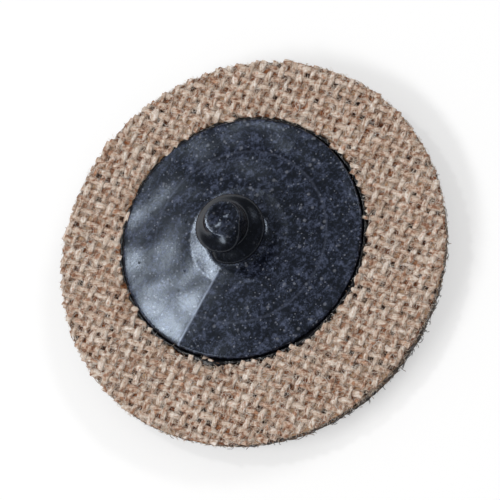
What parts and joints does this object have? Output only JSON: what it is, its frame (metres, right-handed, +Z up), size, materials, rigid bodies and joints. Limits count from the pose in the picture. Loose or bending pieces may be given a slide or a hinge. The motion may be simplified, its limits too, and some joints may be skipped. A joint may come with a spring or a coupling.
{
  "type": "surface conditioning disc",
  "caption": "Round surface conditioning disc: a thick abrasive web under woven cloth, with a black moulded button whose coarse threaded stud screws into a holder.",
  "frame": {"origin": "centre of the disc's working face, at the bottom centre of the bounding box, on the surface it lies on", "axes": "+Z up the stud, away from the working face; +X and +Y in the plane of the disc"},
  "size_m": [0.0508, 0.0508, 0.0129],
  "materials": {
    "abrasive_web": "open matted nylon fibre with resin and grit, dull with small glints",
    "woven_backing": "plain-woven tan cloth with stray fibres",
    "glue": "black, set and shiny",
    "moulded_nylon": "black moulded nylon, satin"
  },
  "bodies": {
    "root": {"abrasive_web": "abrasive_web", "woven_backing": "woven_backing", "glue_bed": "glue", "threaded_button": "moulded_nylon"}
  },
  "joints": []
}
